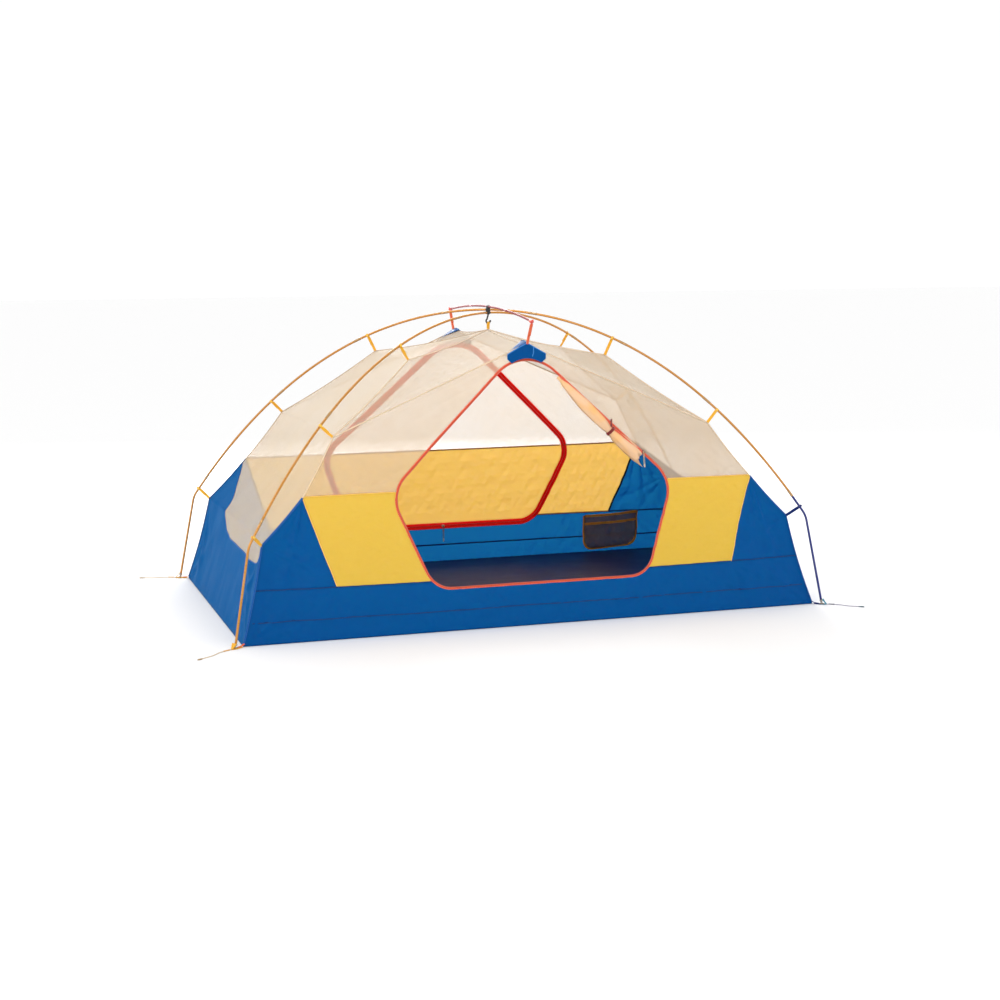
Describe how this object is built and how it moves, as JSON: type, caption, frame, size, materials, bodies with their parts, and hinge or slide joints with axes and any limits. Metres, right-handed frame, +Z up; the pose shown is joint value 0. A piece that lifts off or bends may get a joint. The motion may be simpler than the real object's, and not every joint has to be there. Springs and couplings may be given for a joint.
{
  "type": "dome tent on poles",
  "caption": "Dome tent body of cloth and mesh, clipped under two crossing arched poles and a short ridge pole, with one door rolled open and one zipped shut.",
  "frame": {"origin": "on the ground at the middle of the floor", "axes": "+X along the tent's length, -Y towards the side whose door is rolled open, +Z up"},
  "size_m": [2.5793, 1.5085, 1.1545],
  "materials": {
    "blue_cloth": "coated nylon taffeta, slight sheen",
    "yellow_cloth": "coated polyester taffeta",
    "canopy_mesh": "fine translucent insect mesh",
    "floor_cloth": "coated nylon taffeta",
    "front_zip_cloth": "woven tape",
    "back_zip_cloth": "woven flap",
    "pocket_mesh": "coarse mesh",
    "gold_pole": "gold anodised tube",
    "blue_pole": "blue anodised tube",
    "ridge_pole": "dark red anodised tube",
    "shock_cord": "braided elastic cord",
    "black_plastic": "moulded",
    "yellow_webbing": "woven webbing",
    "blue_webbing": "woven webbing",
    "coral_webbing": "woven webbing",
    "teal_webbing": "woven webbing",
    "dark_red_cord": "braided cord",
    "coral_cord": "braided cord"
  },
  "bodies": {
    "tent": {"back_blue_wall": "blue_cloth", "back_door": "yellow_cloth", "back_mesh": "canopy_mesh", "back_yellow_panel_left": "yellow_cloth", "back_yellow_panel_right": "yellow_cloth", "back_zipper_tape": "back_zip_cloth", "brow_patch_back": "blue_cloth", "brow_patch_front": "blue_cloth", "corner_tab_back_left": "yellow_webbing", "corner_tab_back_right": "teal_webbing", "corner_tab_front_left": "yellow_webbing", "corner_tab_front_right": "teal_webbing", "floor": "floor_cloth", "front_blue_wall": "blue_cloth", "front_mesh": "canopy_mesh", "front_yellow_panel_left": "yellow_cloth", "front_yellow_panel_right": "yellow_cloth", "front_zipper_tape": "front_zip_cloth", "hub_block": "black_plastic", "left_end_mesh": "canopy_mesh", "left_end_panel": "blue_cloth", "main_pole_a": "gold_pole", "main_pole_b": "gold_pole", "mesh_pocket": "pocket_mesh", "peak_strap": "yellow_webbing", "pole_clip_high_back_left": "yellow_webbing", "pole_clip_high_back_right": "yellow_webbing", "pole_clip_high_front_left": "yellow_webbing", "pole_clip_high_front_right": "yellow_webbing", "pole_clip_low_back_left": "yellow_webbing", "pole_clip_low_back_right": "blue_webbing", "pole_clip_low_front_left": "yellow_webbing", "pole_clip_low_front_right": "blue_webbing", "pole_clip_middle_back_left": "yellow_webbing", "pole_clip_middle_back_right": "yellow_webbing", "pole_clip_middle_front_left": "yellow_webbing", "pole_clip_middle_front_right": "yellow_webbing", "pole_end_back_left": "gold_pole", "pole_end_back_right": "blue_pole", "pole_end_front_left": "gold_pole", "pole_end_front_right": "blue_pole", "ridge_pole": "ridge_pole", "ridge_strap_back": "coral_webbing", "ridge_strap_front": "coral_webbing", "right_end_mesh": "canopy_mesh", "right_end_panel": "blue_cloth", "rolled_front_door": "canopy_mesh", "roof_mesh_back": "canopy_mesh", "roof_mesh_front": "canopy_mesh", "shock_cord_a": "shock_cord", "shock_cord_b": "shock_cord", "stake_cord_back_left": "yellow_webbing", "stake_cord_back_right": "teal_webbing", "stake_cord_front_left": "yellow_webbing", "stake_cord_front_right": "teal_webbing"},
    "front_slider": {"front_zipper_slider": "black_plastic"},
    "front_pull": {"front_zipper_pull": "coral_cord"},
    "back_slider": {"back_zipper_slider": "black_plastic"},
    "back_pull": {"back_zipper_pull": "coral_cord"},
    "toggle": {"door_toggle": "dark_red_cord"}
  },
  "joints": [
    {"name": "front_slider_run", "type": "slide", "parent": "tent", "child": "front_slider", "axis": [0.7176, -0.1495, -0.6802], "range_m": [0, 0.055]},
    {"name": "front_pull_swing", "type": "hinge", "parent": "front_slider", "child": "front_pull", "pos_m": [0.44302, -0.54162, 0.6122], "axis": [1, 0, 0], "range_deg": [-100, 0]},
    {"name": "back_slider_run", "type": "slide", "parent": "tent", "child": "back_slider", "axis": [1, 0, 0], "range_m": [-0.33, 0.33]},
    {"name": "back_pull_swing", "type": "hinge", "parent": "back_slider", "child": "back_pull", "pos_m": [0, 0.64361, 0.15986], "axis": [1, 0, 0], "range_deg": [-100, 0]},
    {"name": "toggle_swing", "type": "hinge", "parent": "tent", "child": "toggle", "pos_m": [0.305, -0.5558, 0.745], "axis": [1, 0, 0], "range_deg": [-90, 5]}
  ]
}
